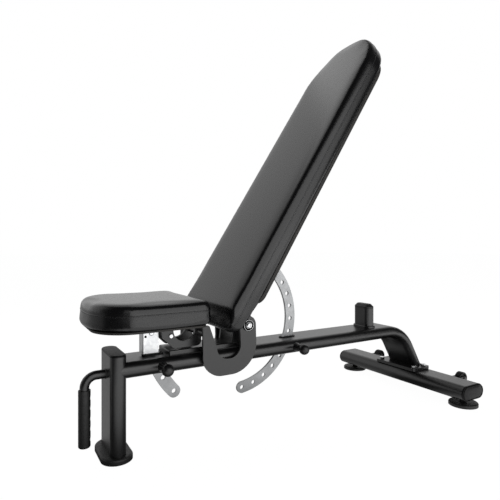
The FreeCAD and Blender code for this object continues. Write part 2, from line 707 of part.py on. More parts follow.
def seat_plan(inset):
    rear = PIVOT_X - SEAT_REAR - inset
    front = PIVOT_X - SEAT_REAR - SEAT_LENGTH + inset
    half = SEAT_PAD_WIDTH / 2 - inset
    nose = SEAT_FRONT_CORNER - inset
    tail = SEAT_REAR_CORNER - inset / 2
    return [(front, -half, nose), (rear, -half, tail), (rear, half, tail), (front, half, nose)]


def seat_board():
    return flat_plate(seat_plan(BOARD_INSET), SEAT_BOARD_BOTTOM, SEAT_BOARD_TOP)


def seat_pad():
    low = SEAT_BOARD_TOP + PAD_CLEARANCE
    pad = flat_plate(seat_plan(0), low, low + SEAT_THICKNESS)
    pad = soften(pad, PAD_EDGE, at_level(low + SEAT_THICKNESS))
    return soften(pad, PAD_UNDER_EDGE, at_level(low))


def seat_bolts():
    heads = []
    outside = SEAT_PLATE_INSIDE + SEAT_PLATE_THICKNESS
    for side in (-1, 1):
        for x, z in seat_plate_bolts():
            heads.append(head_on_side(SCREW_HEAD, SCREW_HEAD_HEIGHT, x, side * outside, z))
    x, z = arc_bracket_bolt()
    half = ARC_BRACKET_WIDTH / 2
    bolt = rod_y(SCREW_HEAD / 4, x, z, -half, half)
    for side in (-1, 1):
        bolt = bolt.fuse(head_on_side(SCREW_HEAD, SCREW_HEAD_HEIGHT, x, side * half, z))
    heads.append(one(bolt))
    return Part.makeCompound(heads)


# ---- Backrest ---------------------------------------------------------------------------------

def back_rail_near():
    """Rectangular tube along the backrest."""
    outside = RAIL_INSIDE + RAIL_WIDTH
    rail = block(RAIL_START, RAIL_END, -outside, -RAIL_INSIDE, RAIL_OFFSET, BOARD_BACK)
    rail = soften(rail, RAIL_WALL, lambda box: box.XMax - box.XMin > RAIL_END - RAIL_START - TINY)
    bore = block(RAIL_START, RAIL_END, RAIL_WALL - outside, -RAIL_INSIDE - RAIL_WALL, RAIL_OFFSET + RAIL_WALL,
                 BOARD_BACK - RAIL_WALL)
    return to_backrest(rail.cut(bore))


def back_cheek_near():
    """Hinge plate welded under the rail, with an eye on the pivot."""
    corners = [(RAIL_START, RAIL_OFFSET, 0), (CHEEK_FOOT, RAIL_OFFSET, 0),
               (CHEEK_EYE * 0.36, -CHEEK_EYE * 0.93, 0), (-CHEEK_EYE * 0.9, 0, 0)]
    outside = RAIL_INSIDE + CHEEK_THICKNESS
    cheek = eye_plate(corners, CHEEK_EYE, BUSH_RADIUS, 0, 0, -outside, -RAIL_INSIDE)
    return to_backrest(cheek.cut(block(-CHEEK_FOOT, CHEEK_FOOT, -outside, -RAIL_INSIDE, RAIL_OFFSET, BOARD_BACK)))


def back_bush_near():
    """Sleeve fixed in the cheek that spaces the backrest between the upright and the U plate."""
    low = -HINGE_PLATE_INSIDE + SIDE_CLEARANCE
    high = -UPRIGHT_OUTSIDE - SIDE_CLEARANCE
    sleeve = rod_y(BUSH_RADIUS, PIVOT_X, PIVOT_Z, low, high)
    return sleeve.cut(rod_y(BUSH_BORE, PIVOT_X, PIVOT_Z, low, high))


def crossbar(centre, width):
    """Hollow bar across the backrest between the two rails."""
    half = width / 2
    bar = block(centre - half, centre + half, -RAIL_INSIDE, RAIL_INSIDE, RAIL_OFFSET, BOARD_BACK)
    bore = block(centre - half + CROSSBAR_WALL, centre + half - CROSSBAR_WALL, -RAIL_INSIDE, RAIL_INSIDE,
                 RAIL_OFFSET + CROSSBAR_WALL, BOARD_BACK - CROSSBAR_WALL)
    return to_backrest(bar.cut(bore))


def back_plan(start, inset, low_corner):
    """Long cushion plan whose upper end is drawn in over its shoulders to a narrow crown."""
    half = BACK_PAD_WIDTH / 2 - inset
    end = BACK_PAD_END - inset
    shoulder = end - BACK_SHOULDER_DROP
    crown = BACK_CROWN_WIDTH / 2 - inset / 2
    near_edge = [
        (start, -half, low_corner),
        (shoulder, -half, BACK_SHOULDER_ROUND - inset),
        (end, -crown, BACK_CROWN_ROUND - inset),
    ]
    return near_edge + [(x, -y, radius) for x, y, radius in reversed(near_edge)]


def back_board():
    plan = back_plan(BACK_BOARD_START, BOARD_INSET, BACK_LOW_CORNER - BOARD_INSET)
    return to_backrest(flat_plate(plan, BOARD_BACK, BOARD_FRONT))


def back_pad():
    """Cushion with a rounded toe sloping away from the seat and a heel eased behind it."""
    low = BOARD_FRONT + PAD_CLEARANCE
    high = low + BACK_PAD_THICKNESS
    pad = flat_plate(back_plan(BACK_PAD_START, 0, BACK_LOW_CORNER), low, high)
    pad = soften(pad, PAD_EDGE, at_level(high))
    pad = soften(pad, PAD_UNDER_EDGE, at_level(low))
    beyond = BACK_PAD_END + PAD_EDGE
    profile = [
        (BACK_BOARD_START, low, 0),
        (beyond, low, 0),
        (beyond, high, 0),
        (BACK_PAD_START + TOE_LENGTH, high, TOE_ROUND),
        (BACK_PAD_START, high - TOE_DEPTH, TOE_ROUND * 0.6),
        (BACK_PAD_START, low + HEEL_TIP_DEPTH, HEEL_ROUND),
        (BACK_PAD_START + HEEL_LENGTH, low + HEEL_DEPTH, HEEL_ROUND),
    ]
    return to_backrest(one(pad.common(side_plate(profile, -BACK_PAD_WIDTH, BACK_PAD_WIDTH))))


def back_bolts():
    """Button heads under the rails that hold the board."""
    heads = []
    span = RAIL_END - CHEEK_FOOT
    for side in (-1, 1):
        for share in (0.05, 0.5, 0.93):
            head = button_head(SCREW_HEAD, SCREW_HEAD_HEIGHT)
            head.rotate(V(0, 0, 0), V(1, 0, 0), 180)
            head.translate(V(CHEEK_FOOT + share * span, side * (RAIL_INSIDE + RAIL_WIDTH / 2), RAIL_OFFSET))
            heads.append(to_backrest(head))
    return Part.makeCompound(heads)


# ---- Bumper post ------------------------------------------------------------------------------

def bumper_post():
    top = BUMPER_TOP - BUMPER_CAP_HEIGHT
    outer = upright_oval(BUMPER_LONG, BUMPER_SHORT, BUMPER_X, BEAM_TOP, top)
    inset = 2 * OVAL_WALL
    return outer.cut(upright_oval(BUMPER_LONG - inset, BUMPER_SHORT - inset, BUMPER_X, BEAM_TOP, top))


def bumper_base_ring():
    top = BEAM_TOP + BUMPER_RING_HEIGHT
    rim = 2 * BUMPER_RING_RIM
    ring = upright_oval(BUMPER_LONG + rim, BUMPER_SHORT + rim, BUMPER_X, BEAM_TOP, top)
    ring = soften(ring, BUMPER_RING_RIM * 0.6, at_level(top))
    return ring.cut(upright_oval(BUMPER_LONG, BUMPER_SHORT, BUMPER_X, BEAM_TOP, top))


def bumper_cap():
    cap = upright_oval(BUMPER_LONG, BUMPER_SHORT, BUMPER_X, BUMPER_TOP - BUMPER_CAP_HEIGHT, BUMPER_TOP)
    edges = [edge for edge in cap.Edges if at_level(BUMPER_TOP)(edge.BoundBox)]
    return cap.makeChamfer(BUMPER_CAP_BEVEL, edges)


# ---- Rear foot --------------------------------------------------------------------------------

def stabilizer_oval(inset, y_low, y_high):
    oval = side_plate(racetrack(STABILIZER_WIDTH - 2 * inset, STABILIZER_HEIGHT - 2 * inset), y_low, y_high)
    oval.translate(V(STABILIZER_X, 0, STABILIZER_Z))
    return oval


def flange_bolt_places():
    return [(STABILIZER_X + sx * FLANGE_BOLT_X / 2, sy * FLANGE_BOLT_Y / 2) for sx in (-1, 1) for sy in (-1, 1)]


def rear_stabilizer():
    half = STABILIZER_LENGTH / 2
    tube = stabilizer_oval(0, -half, half).cut(stabilizer_oval(STABILIZER_WALL, -half, half))
    for x, y in flange_bolt_places():
        tube = tube.cut(rod_z(FLANGE_BOLT / 2, x, y, STABILIZER_Z, STABILIZER_TOP))
    return tube


def end_plug_near():
    half = STABILIZER_LENGTH / 2
    outer = half + PLUG_THICKNESS
    plug = stabilizer_oval(0, -outer, -half)
    plug = soften(plug, PLUG_EDGE, lambda box: box.YMax < TINY - outer)
    spigot = stabilizer_oval(STABILIZER_WALL, -half, PLUG_THICKNESS - half)
    return plug.fuse(spigot)


def flange_plate():
    half_x = FLANGE_LENGTH / 2
    half_y = FLANGE_WIDTH / 2
    corner = FLANGE_BOLT
    corners = [(STABILIZER_X - half_x, -half_y, corner), (STABILIZER_X + half_x, -half_y, corner),
               (STABILIZER_X + half_x, half_y, corner), (STABILIZER_X - half_x, half_y, corner)]
    plate = flat_plate(corners, STABILIZER_TOP, FLANGE_TOP)
    for x, y in flange_bolt_places():
        plate = plate.cut(rod_z(FLANGE_BOLT / 2, x, y, STABILIZER_TOP, FLANGE_TOP))
    return plate


def flange_bolts():
    bolts = []
    for x, y in flange_bolt_places():
        head = hexagon(FLANGE_BOLT * 1.95, x, y, FLANGE_TOP, FLANGE_TOP + FLANGE_BOLT * 0.7)
        shank = rod_z(FLANGE_BOLT / 2, x, y, STABILIZER_TOP - STABILIZER_WALL, FLANGE_TOP)
        bolts.append(head.fuse(shank))
    return Part.makeCompound(bolts)


def rear_foot_near():
    """Rubber levelling foot."""
    disc = rod_z(FOOT_DIAMETER / 2, STABILIZER_X, -FOOT_SPACING / 2, 0, FOOT_THICKNESS)
    return soften(disc, FOOT_THICKNESS * 0.4, at_level(FOOT_THICKNESS))


def foot_stems():
    stems = [hexagon(FOOT_STEM, STABILIZER_X, side * FOOT_SPACING / 2, FOOT_THICKNESS, STABILIZER_BOTTOM)
             for side in (-1, 1)]
    return Part.makeCompound(stems)


def wheel_bracket_near():
    """Folded fork behind the rear foot that holds one transport wheel."""
    y = -WHEEL_SPACING / 2
    gap = WHEEL_WIDTH / 2 + WHEEL_SIDE_GAP
    eye = WHEEL_AXLE
    front = STABILIZER_X + (STABILIZER_WIDTH - STABILIZER_HEIGHT) / 2
    top = WHEEL_Z + eye
    low = WHEEL_Z - eye
    corners = [(front, low, 0), (WHEEL_X + eye, low, eye * 0.95), (WHEEL_X + eye, top, eye * 0.95), (front, top, 0)]
    web_front = STABILIZER_X + STABILIZER_WIDTH / 2 - WHEEL_CHEEK
    web_rear = STABILIZER_X + STABILIZER_WIDTH / 2 + WHEEL_GAP / 3
    fork = block(web_front, web_rear, y - gap, y + gap, low, top)
    for low_y in (y - gap - WHEEL_CHEEK, y + gap):
        fork = fork.fuse(side_plate(corners, low_y, low_y + WHEEL_CHEEK))
    fork = fork.cut(stabilizer_oval(0, y - WHEEL_SPACING / 2, y + WHEEL_SPACING / 2))
    return one(fork.cut(rod_y(WHEEL_AXLE / 2, WHEEL_X, WHEEL_Z, y - WHEEL_WIDTH, y + WHEEL_WIDTH)))


def wheel_axles():
    reach = WHEEL_WIDTH / 2 + WHEEL_SIDE_GAP + WHEEL_CHEEK
    axles = []
    for side in (-1, 1):
        y = side * WHEEL_SPACING / 2
        axle = rod_y(WHEEL_AXLE / 2, WHEEL_X, WHEEL_Z, y - reach, y + reach)
        for direction in (-1, 1):
            end = y + direction * reach
            axle = axle.fuse(rod_y(WHEEL_AXLE * 0.8, WHEEL_X, WHEEL_Z, min(end, end + direction * 3),
                                   max(end, end + direction * 3)))
        axles.append(one(axle))
    return Part.makeCompound(axles)


def wheel_near():
    """Moulded wheel with rounded shoulders and a recessed web."""
    y = -WHEEL_SPACING / 2
    low = y - WHEEL_WIDTH / 2
    high = y + WHEEL_WIDTH / 2
    wheel = rod_y(WHEEL_DIAMETER / 2, WHEEL_X, WHEEL_Z, low, high)
    wheel = soften(wheel, WHEEL_WIDTH * 0.15, lambda box: box.YMax - box.YMin < TINY)
    depth = WHEEL_WIDTH * 0.2
    for start, end in ((low, low + depth), (high - depth, high)):
        ring = rod_y(WHEEL_DIAMETER * 0.36, WHEEL_X, WHEEL_Z, start, end)
        wheel = wheel.cut(ring.cut(rod_y(WHEEL_AXLE * 0.9, WHEEL_X, WHEEL_Z, start, end)))
    return one(wheel.cut(rod_y(WHEEL_BORE, WHEEL_X, WHEEL_Z, low, high)))


# ---- Pull pins --------------------------------------------------------------------------------

def pin_housing(x):
    """Guide barrel welded through the near wall of the beam, tapered towards its knob."""
    inner = OVAL_LONG / 2 - PIN_HOUSING_IN
    barrel = rod_y(PIN_HOUSING / 2, x, BEAM_HEIGHT, -OVAL_LONG / 2, -inner)
    nose = Part.makeCone(PIN_HOUSING / 2, PIN_HOUSING_NOSE / 2, PIN_HOUSING_OUT,
                         V(x, -OVAL_LONG / 2, BEAM_HEIGHT), V(0, -1, 0))
    return one(barrel.fuse(nose).cut(rod_y(PIN_BORE, x, BEAM_HEIGHT, -PIN_HOUSING_END, -inner)))


def pin_plunger(x):
    """Round pin with a chamfered tip, drawn just clear of the arc strip."""
    plunger = rod_y(PIN_DIAMETER / 2, x, BEAM_HEIGHT, -KNOB_FACE, -PIN_TIP)
    tip = [edge for edge in plunger.Edges if edge.BoundBox.YMin > -PIN_TIP - TINY]
    return plunger.makeChamfer(1.5, tip)


def pin_knob(x):
    """Ball knob with a flat face towards the bench."""
    centre = -KNOB_FACE - KNOB_FLAT
    ball = Part.makeSphere(KNOB_DIAMETER / 2, V(x, centre, BEAM_HEIGHT), V(0, 1, 0))
    half = KNOB_DIAMETER
    return one(ball.cut(block(x - half, x + half, -KNOB_FACE, half, BEAM_HEIGHT - half, BEAM_HEIGHT + half)))


# ---- All nodes --------------------------------------------------------------------------------

def build_nodes():
    nodes = {
        "front_foot_shoe": front_foot_shoe(),
        "front_post": front_post(),
        "post_cap": post_cap(),
        "handle_tube": handle_tube(),
        "handle_grip": handle_grip(),
        "main_beam": main_beam(),
        "seat_slot_trim": slot_trim(-1, SEAT_ARC_RADIUS, SEAT_ARC_WIDTH),
        "back_slot_trim": slot_trim(1, BACK_ARC_RADIUS, BACK_ARC_WIDTH),
        "hinge_base": hinge_base(),
        "pivot_shaft": pivot_shaft(),
        "pivot_bolts": pivot_bolts(),
        "seat_arc": seat_arc(),
        "seat_arc_bracket": seat_arc_bracket(),
        "seat_cross_tube": seat_cross_tube(),
        "seat_board": seat_board(),
        "seat_pad": seat_pad(),
        "seat_bolts": seat_bolts(),
        "back_arc": back_arc(),
        "arc_mount": crossbar(BACK_ARC_RADIUS, ARC_MOUNT_WIDTH),
        "rest_plate": crossbar(BUMPER_X - PIVOT_X, REST_PLATE_WIDTH),
        "back_board": back_board(),
        "back_pad": back_pad(),
        "back_bolts": back_bolts(),
        "bumper_post": bumper_post(),
        "bumper_base_ring": bumper_base_ring(),
        "bumper_cap": bumper_cap(),
        "rear_stabilizer": rear_stabilizer(),
        "flange_plate": flange_plate(),
        "flange_bolts": flange_bolts(),
        "foot_stems": foot_stems(),
        "wheel_axles": wheel_axles(),
    }
    sided = {
        "upright": upright_near,
        "hinge_plate": hinge_plate_near,
        "hinge_bush": hinge_bush_near,
        "seat_side_plate": seat_side_plate_near,
        "back_rail": back_rail_near,
        "back_cheek": back_cheek_near,
        "back_bush": back_bush_near,
        "end_plug": end_plug_near,
        "rear_foot": rear_foot_near,
        "wheel_bracket": wheel_bracket_near,
        "transport_wheel": wheel_near,
    }
    for name, make_near in sided.items():
        near = make_near()
        nodes[name + "_near"] = near
        nodes[name + "_far"] = far_of(near)
    for name, x in pin_places().items():
        nodes[name + "_pin_housing"] = pin_housing(x)
        nodes[name + "_pin_plunger"] = pin_plunger(x)
        nodes[name + "_pin_knob"] = pin_knob(x)
    return nodes


os.makedirs("parts", exist_ok=True)
for node, shape in build_nodes().items():
    if not shape.isValid():
        raise ValueError(node + " is not a valid solid")
    shape.exportStep("parts/" + node + ".step")
    size = shape.BoundBox
    print("%-22s %d solid(s)  X %.0f..%.0f  Y %.0f..%.0f  Z %.0f..%.0f" % (
        node, len(shape.Solids), size.XMin, size.XMax, size.YMin, size.YMax, size.ZMin, size.ZMax))
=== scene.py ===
"""Adjustable weight bench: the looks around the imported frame. Metres, the bench's own axes."""

import json
import math
import bmesh
import bpy
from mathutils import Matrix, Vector


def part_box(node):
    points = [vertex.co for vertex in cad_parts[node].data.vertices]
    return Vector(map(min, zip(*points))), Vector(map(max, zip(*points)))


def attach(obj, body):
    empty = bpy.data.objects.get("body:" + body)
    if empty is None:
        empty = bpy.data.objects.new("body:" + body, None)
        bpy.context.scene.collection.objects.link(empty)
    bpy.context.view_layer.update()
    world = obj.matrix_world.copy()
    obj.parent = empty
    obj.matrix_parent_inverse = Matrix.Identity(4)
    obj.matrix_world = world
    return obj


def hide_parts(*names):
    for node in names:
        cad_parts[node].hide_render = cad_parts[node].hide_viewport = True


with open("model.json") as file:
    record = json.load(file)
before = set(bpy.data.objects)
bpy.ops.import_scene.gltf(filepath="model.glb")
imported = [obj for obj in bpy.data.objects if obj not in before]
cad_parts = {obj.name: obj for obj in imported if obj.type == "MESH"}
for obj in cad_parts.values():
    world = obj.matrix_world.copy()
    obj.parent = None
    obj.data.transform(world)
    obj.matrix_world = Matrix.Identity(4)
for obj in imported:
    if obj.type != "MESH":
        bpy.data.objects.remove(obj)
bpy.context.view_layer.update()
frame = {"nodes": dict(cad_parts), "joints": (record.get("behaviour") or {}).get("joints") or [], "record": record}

MM = 0.001


nodes = frame["nodes"]
joints = {joint["name"]: joint for joint in frame["joints"]}
scene = bpy.context.scene

BODY_OF = {node: body for body, members in frame["record"]["behaviour"]["bodies"].items() for node in members}
PIVOT = Vector(joints["back_recline"]["pos_m"])
RECLINE = math.radians(joints["back_recline"]["range_deg"][1])
ALONG_BACK = Vector((math.cos(RECLINE), 0, math.sin(RECLINE)))
OUT_OF_BACK = Vector((-math.sin(RECLINE), 0, math.cos(RECLINE)))
ACROSS = Vector((0, 1, 0))
UP = Vector((0, 0, 1))

# Studio walls, as sines of direction: where each starts and is full, and how bright it is
WALL_EDGE = (0.0, 0.45)
WALL_TOP = (0.60, 0.90)
WALL_LEVEL = 0.85
ROOM_LEVEL = 0.045
# The floor as shiny surfaces show it, with painted light in place of a lit floor (a painted pool of light on the near
# side, a weaker one on the far side, painted shade beneath the bench): metres from where it is dim to where it is
# bright, and levels
FLOOR_FRONT = (-0.10, -0.45)
FLOOR_LEFT = (-1.0, -0.35)
FLOOR_BACK = (-0.02, 0.15)
FLOOR_LEVELS = (0.03, 1.6, 0.42)
# The floor as the camera sees it: a glow just past white, mixed with matt paint that keeps the shadow
FLOOR_GLOW = 1.085
FLOOR_GLOW_SHARE = 0.90
FLOOR_HALF_SIZE = 30.0


# ---- Camera, floor and light ----------------------------------------------------------------

def set_camera():
    """Level camera ahead of the bench and to its near side."""
    data = bpy.data.cameras.new("camera")
    data.lens = 31.19
    data.sensor_width = 36.0
    data.shift_y = -0.008
    camera = bpy.data.objects.new("camera", data)
    camera.location = (-0.2823, -1.1948, 0.56)
    camera.rotation_euler = (math.radians(90), 0, math.radians(-30.79))
    scene.collection.objects.link(camera)
    scene.camera = camera


def srgb(text, alpha=1.0):
    """Linear colour from an sRGB hex value such as '#1a1a1b'."""
    values = []
    for start in (1, 3, 5):
        value = int(text[start:start + 2], 16) / 255
        values.append(value / 12.92 if value <= 0.04045 else ((value + 0.055) / 1.055) ** 2.4)
    return (*values, alpha)


def add_node(tree, kind, inputs=None, **settings):
    """Add one shader or geometry node; an input is a value or a socket to link from."""
    made = tree.nodes.new(kind)
    for name, value in settings.items():
        setattr(made, name, value)
    for socket, value in (inputs or {}).items():
        if isinstance(value, bpy.types.NodeSocket):
            tree.links.new(value, made.inputs[socket])
        else:
            made.inputs[socket].default_value = value
    return made


def band(tree, value, start, full, low=0.0, high=1.0):
    """Smooth ramp from low at start to high at full."""
    return add_node(tree, "ShaderNodeMapRange", {"Value": value, "From Min": start, "From Max": full, "To Min": low,
                                                 "To Max": high}, interpolation_type="SMOOTHSTEP").outputs[0]


def times(tree, first, second, operation="MULTIPLY"):
    """Two values multiplied, or joined by another operation."""
    return add_node(tree, "ShaderNodeMath", {0: first, 1: second}, operation=operation).outputs[0]


def empty_material(name):
    """New material and its empty node tree."""
    material = bpy.data.materials.new(name)
    material.use_nodes = True
    material.node_tree.nodes.clear()
    return material, material.node_tree


def set_floor():
    """Pale studio floor that stays white to the eye and keeps the bench's shadow. Shiny surfaces see painted light on
    it instead: a pool of light on the near side, a weaker one on the far side, and painted shade beneath the bench.
    """
    data = bpy.data.meshes.new("floor")
    far = FLOOR_HALF_SIZE
    data.from_pydata([(-far, -far, 0), (far, -far, 0), (far, far, 0), (-far, far, 0)], [], [(0, 1, 2, 3)])
    floor = bpy.data.objects.new("floor", data)
    scene.collection.objects.link(floor)
    material, tree = empty_material("pale_studio_floor")
    light_path = add_node(tree, "ShaderNodeLightPath").outputs
    place = add_node(tree, "ShaderNodeTexCoord").outputs["Object"]
    x, y, _ = add_node(tree, "ShaderNodeSeparateXYZ", {0: place}).outputs
    dim, front, back = FLOOR_LEVELS
    # Painted light for glossy rays only: a pool of light on the near side that fades out towards -X, plus a weaker
    # pool past the far side, with painted shade in the strip beneath the bench
    painted_near_pool = times(tree, band(tree, y, *FLOOR_FRONT, dim, front), band(tree, x, *FLOOR_LEFT))
    painted_reflection_glow = times(tree, painted_near_pool, band(tree, y, *FLOOR_BACK, dim, back), "ADD")
    level = add_node(tree, "ShaderNodeMix", {"Factor": light_path["Is Camera Ray"], 2: painted_reflection_glow,
                                             3: FLOOR_GLOW}).outputs[0]
    seen = times(tree, light_path["Is Camera Ray"],
                 times(tree, light_path["Is Glossy Ray"], light_path["Is Transmission Ray"], "MAXIMUM"), "MAXIMUM")
    matt = add_node(tree, "ShaderNodeBsdfDiffuse", {"Color": srgb("#e4e4e4")})
    glow = add_node(tree, "ShaderNodeEmission", {"Color": srgb("#ffffff"), "Strength": level})
    mixed = add_node(tree, "ShaderNodeMixShader", {0: times(tree, seen, FLOOR_GLOW_SHARE), 1: matt.outputs[0],
                                                   2: glow.outputs[0]})
    add_node(tree, "ShaderNodeOutputMaterial", {"Surface": mixed.outputs[0]})
    data.materials.append(material)


def set_world():
    """White cyclorama behind the bench in an otherwise dark room."""
    world = bpy.data.worlds.new("studio")
    world.use_nodes = True
    tree = world.node_tree
    tree.nodes.clear()
    light_path = add_node(tree, "ShaderNodeLightPath").outputs
    direction = add_node(tree, "ShaderNodeTexCoord").outputs["Generated"]
    _, y, z = add_node(tree, "ShaderNodeSeparateXYZ", {0: direction}).outputs
    wall = times(tree, band(tree, y, *WALL_EDGE), band(tree, z, WALL_TOP[1], WALL_TOP[0], 0.0, WALL_LEVEL))
    room = times(tree, wall, ROOM_LEVEL, "ADD")
    plain = times(tree, light_path["Is Camera Ray"], light_path["Is Transmission Ray"], "MAXIMUM")
    level = add_node(tree, "ShaderNodeMix", {"Factor": plain, 2: room, 3: 1.0}).outputs[0]
    back = add_node(tree, "ShaderNodeBackground", {"Color": srgb("#ffffff"), "Strength": level})
    add_node(tree, "ShaderNodeOutputWorld", {"Surface": back.outputs[0]})
    scene.world = world


def set_lamp(name, place, aim, size, power):
    """Rectangular lamp of a size in metres and a power in watts."""
    data = bpy.data.lights.new(name, "AREA")
    data.shape = "RECTANGLE"
    data.size, data.size_y = size
    data.energy = power
    lamp = bpy.data.objects.new(name, data)
    lamp.location = place
    lamp.rotation_euler = (Vector(aim) - Vector(place)).to_track_quat("-Z", "Y").to_euler()
    scene.collection.objects.link(lamp)


# ---- Materials ------------------------------------------------------------------------------

def surface(name, colour, roughness, metallic=0.0, **sockets):
    """Material with one shader; returns the material, its tree, object coordinates and the shader."""
    material, tree = empty_material(name)
    place = add_node(tree, "ShaderNodeTexCoord").outputs["Object"]
    shader = add_node(tree, "ShaderNodeBsdfPrincipled", {"Base Color": srgb(colour), "Roughness": roughness,
                                                         "Metallic": metallic})
    for socket, value in sockets.items():
        shader.inputs[socket.replace("_", " ")].default_value = value
    add_node(tree, "ShaderNodeOutputMaterial", {"Surface": shader.outputs[0]})
    return material, tree, place, shader


def vary(tree, place, shader, socket, size, low, high, stretch=(1, 1, 1)):
    """Drive a shader socket with soft noise whose features are about size metres across."""
    mapped = add_node(tree, "ShaderNodeMapping", {"Vector": place, "Scale": stretch})
    noise = add_node(tree, "ShaderNodeTexNoise", {"Vector": mapped.outputs[0], "Scale": 1 / size, "Detail": 3.0})
    ramp = add_node(tree, "ShaderNodeValToRGB", {"Fac": noise.outputs["Fac"]})
    ramp.color_ramp.elements[0].position = 0.3
    ramp.color_ramp.elements[1].position = 0.7
    ramp.color_ramp.elements[0].color = low
    ramp.color_ramp.elements[1].color = high
    tree.links.new(ramp.outputs[0], shader.inputs[socket])
    return noise


def grey(value):
    """Grey colour of a plain value, for a ramp that drives a number."""
    return (value, value, value, 1.0)


def roughen(tree, shader, height, distance, strength):
    """Bump of a depth in metres."""
    bump = add_node(tree, "ShaderNodeBump", {"Height": height, "Distance": distance, "Strength": strength})
    tree.links.new(bump.outputs[0], shader.inputs["Normal"])


def satin_powder_coat():
    """Baked polyester powder: a near-black satin skin with fine orange peel."""
    material, tree, place, shader = surface("satin_powder_coat", "#0c0c0d", 0.32, IOR=1.58)
    vary(tree, place, shader, "Base Color", 60 * MM, srgb("#0a0a0b"), srgb("#0f0f10"))
    vary(tree, place, shader, "Roughness", 9 * MM, grey(0.30), grey(0.34))
    peel = add_node(tree, "ShaderNodeTexNoise", {"Vector": place, "Scale": 1 / (1.6 * MM), "Detail": 2.0})
    roughen(tree, shader, peel.outputs["Fac"], 0.02 * MM, 0.2)
    return material


def embossed_vinyl():
    """Coated upholstery vinyl: small pebbled grain, soft satin shine."""
    material, tree, place, shader = surface("embossed_vinyl", "#0a0a0b", 0.26, IOR=1.46)
    vary(tree, place, shader, "Base Color", 45 * MM, srgb("#08080a"), srgb("#0d0d0e"))
    vary(tree, place, shader, "Roughness", 6 * MM, grey(0.24), grey(0.29))
    pebble = add_node(tree, "ShaderNodeTexVoronoi", {"Vector": place, "Scale": 1 / (1.5 * MM)},
                      feature="SMOOTH_F1")
    roughen(tree, shader, pebble.outputs["Distance"], 0.03 * MM, 0.06)
    return material


def moulded_rubber():
    """Black rubber from a blasted mould: dull, with a faint bloom."""
    material, tree, place, shader = surface("moulded_rubber", "#101010", 0.55)
    vary(tree, place, shader, "Base Color", 30 * MM, srgb("#0e0e0e"), srgb("#171717"))
    vary(tree, place, shader, "Roughness", 8 * MM, grey(0.48), grey(0.62))
    grit = add_node(tree, "ShaderNodeTexNoise", {"Vector": place, "Scale": 1 / (0.9 * MM), "Detail": 2.0})
    roughen(tree, shader, grit.outputs["Fac"], 0.05 * MM, 0.6)
    return material


def moulded_nylon():
    """Injection-moulded nylon trim: matt black with a fine spark texture."""
    material, tree, place, shader = surface("moulded_nylon", "#0b0b0c", 0.45, Specular_IOR_Level=0.16)
    vary(tree, place, shader, "Roughness", 5 * MM, grey(0.40), grey(0.50))
    spark = add_node(tree, "ShaderNodeTexNoise", {"Vector": place, "Scale": 1 / (0.8 * MM), "Detail": 3.0})
    roughen(tree, shader, spark.outputs["Fac"], 0.03 * MM, 0.5)
    return material


def graphite_nylon():
    """Self-oiling graphite nylon of the pivot bushes: sooty black, no shine."""
    material, tree, place, shader = surface("graphite_nylon", "#060606", 0.7, Specular_IOR_Level=0.1)
    vary(tree, place, shader, "Roughness", 3 * MM, grey(0.65), grey(0.78))
    return material


def galvanised_plate():
    """Bright galvanised folded plate with soft crystal spangle."""
    material, tree, place, shader = surface("galvanised_plate", "#cfd0d1", 0.38, metallic=1.0)
    crystal = add_node(tree, "ShaderNodeTexVoronoi", {"Vector": place, "Scale": 1 / (9 * MM)})
    shade = add_node(tree, "ShaderNodeMix", {"Factor": crystal.outputs["Color"], 6: srgb("#c4c5c7"),
                                             7: srgb("#dadbdb")}, data_type="RGBA")
    tree.links.new(shade.outputs[2], shader.inputs["Base Color"])
    return material


def polished_phenolic():
    """Compression-moulded phenolic ball: deep black, semi-gloss from handling."""
    material, tree, place, shader = surface("polished_phenolic", "#0c0c0d", 0.40)
    vary(tree, place, shader, "Roughness", 7 * MM, grey(0.35), grey(0.45))
    flow = add_node(tree, "ShaderNodeTexNoise", {"Vector": place, "Scale": 1 / (4 * MM), "Detail": 2.0})
    roughen(tree, shader, flow.outputs["Fac"], 0.04 * MM, 0.3)
    return material


def brushed_stainless():
    """Laser-cut stainless strip, belt brushed: fine lines along the length."""
    material, tree, place, shader = surface("brushed_stainless", "#8f9091", 0.30, metallic=1.0)
    vary(tree, place, shader, "Base Color", 40 * MM, srgb("#868788"), srgb("#999a9b"))
    lines = vary(tree, place, shader, "Roughness", 3 * MM, grey(0.28), grey(0.42), stretch=(6, 1, 0.4))
    roughen(tree, shader, lines.outputs["Fac"], 0.02 * MM, 0.5)
    return material


def bright_zinc():
    """Clear zinc-plated screws: bright, faintly mottled."""
    material, tree, place, shader = surface("bright_zinc", "#d2d3d4", 0.20, metallic=1.0)
    vary(tree, place, shader, "Base Color", 6 * MM, srgb("#c6c7c9"), srgb("#dcdcdc"))
    vary(tree, place, shader, "Roughness", 4 * MM, grey(0.15), grey(0.28))
    return material


def black_stained_birch():
    """Birch ply, stained black: open grain along the board."""
    material, tree, place, shader = surface("black_stained_birch", "#191817", 0.7)
    grain = vary(tree, place, shader, "Base Color", 5 * MM, srgb("#131211"), srgb("#24211e"), stretch=(0.08, 1, 0.08))
    roughen(tree, shader, grain.outputs["Fac"], 0.15 * MM, 0.6)
    return material


def spun_polyester_thread():
    """Bonded black upholstery thread, duller and a little greyer than the vinyl."""
    material, tree, place, shader = surface("spun_polyester_thread", "#1c1c1e", 0.6)
    vary(tree, place, shader, "Base Color", 2 * MM, srgb("#171719"), srgb("#232325"))
    return material


def piping_painted_highlight():
    """Vinyl cord in the seam, greyer than the cover: the lighter grey is a painted highlight along the cord."""
    material, tree, place, shader = surface("piping_painted_highlight", "#343436", 0.34)
    vary(tree, place, shader, "Base Color", 12 * MM, srgb("#2e2e30"), srgb("#3a3a3c"))
    return material


